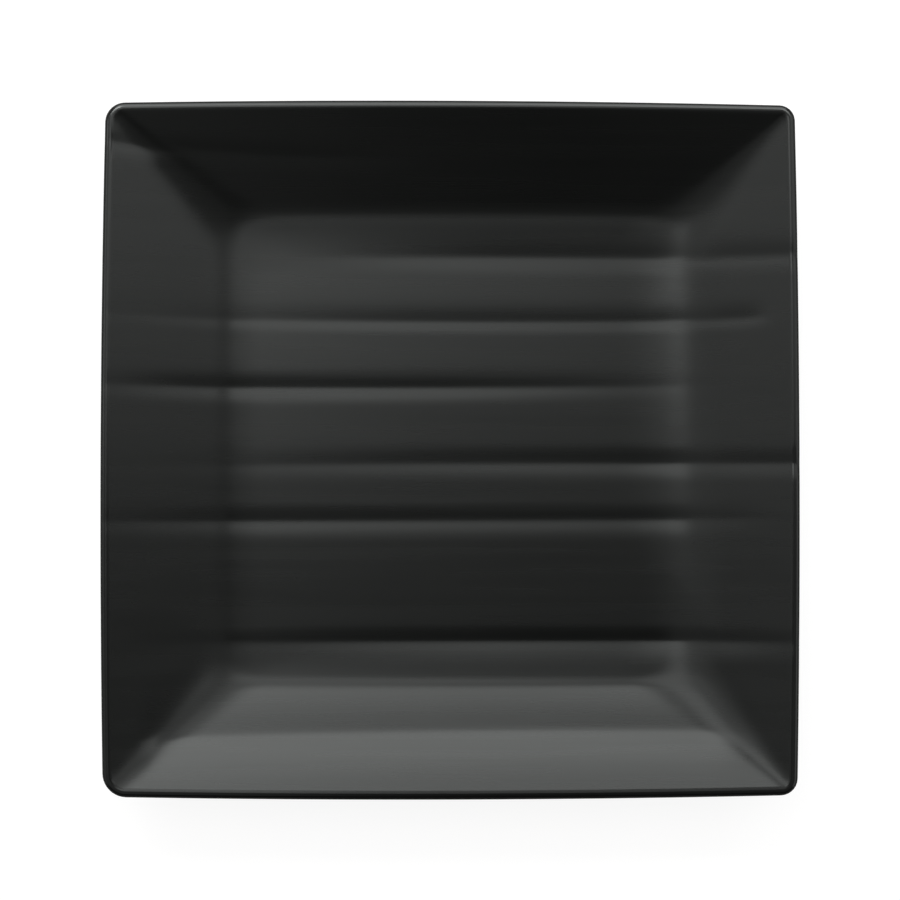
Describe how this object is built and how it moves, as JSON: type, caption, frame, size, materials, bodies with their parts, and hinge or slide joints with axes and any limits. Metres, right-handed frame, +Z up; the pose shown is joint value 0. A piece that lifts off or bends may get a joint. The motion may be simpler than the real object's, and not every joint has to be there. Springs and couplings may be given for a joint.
{
  "type": "square dinner plate",
  "caption": "Black square dinner plate with straight sloping walls round a flat well, a rounded lip, soft grooves across its satin face and a square foot ring.",
  "frame": {"origin": "on the table, under the middle of the plate's outline", "axes": "+Z up out of the dish, +Y towards the back of the plate, +X to the right, with the grooves along X"},
  "size_m": [0.267, 0.267, 0.027],
  "materials": {
    "body": "black moulded melamine, matt, bare at the lip and the underside",
    "coat": "black satin coat with soft reflections"
  },
  "bodies": {
    "root": {"plate_body": "body", "satin_coat": "coat"}
  },
  "joints": []
}
